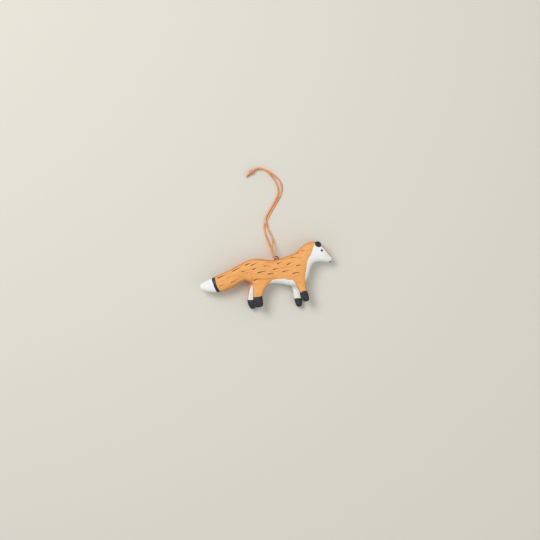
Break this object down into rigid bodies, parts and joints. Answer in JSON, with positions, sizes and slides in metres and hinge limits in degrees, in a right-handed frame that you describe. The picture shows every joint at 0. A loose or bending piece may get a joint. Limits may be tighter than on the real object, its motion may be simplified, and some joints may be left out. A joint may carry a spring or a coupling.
{
  "type": "fox ornament",
  "caption": "Carved and painted wooden fox, slab-flanked, that stands out flat on its side and hangs from a screw eye in its back by a knotted loop of round leather cord.",
  "frame": {"origin": "under the middle of the fox's own box, without the cord, on the table that its left flank lies on", "axes": "+X towards the nose, +Y towards the back and the cord, +Z out of the right flank"},
  "size_m": [0.1197, 0.1289, 0.0183],
  "materials": {
    "orange_wood": "matt paint over carved wood",
    "white_wood": "matt paint over carved wood",
    "black_wood": "matt paint over carved wood",
    "black_bead": "gloss",
    "dark_steel": "darkened",
    "tan_leather": "smooth round cord"
  },
  "bodies": {
    "fox": {"body": "orange_wood", "face": "white_wood", "chest_bib": "white_wood", "belly_panel": "white_wood", "tail": "orange_wood", "tail_band": "black_wood", "tail_tip": "white_wood", "hind_leg_right": "orange_wood", "hind_leg_left": "orange_wood", "front_leg_right": "orange_wood", "front_leg_left": "orange_wood", "hind_foot_right": "black_wood", "hind_foot_left": "black_wood", "front_foot_right": "black_wood", "front_foot_left": "black_wood", "ear_right": "black_wood", "ear_left": "black_wood", "eye_right": "black_bead", "eye_left": "black_bead", "nose": "black_wood", "screw_eye": "dark_steel"},
    "hanger": {"cord_front_strand": "tan_leather", "cord_back_strand": "tan_leather", "cord_knot": "tan_leather", "cord_tails": "tan_leather"}
  },
  "joints": [
    {"name": "loop_swing", "type": "hinge", "parent": "fox", "child": "hanger", "pos_m": [0.0096, 0.0152, 0.009], "axis": [0, 0, 1], "range_deg": [-60, 34]}
  ]
}
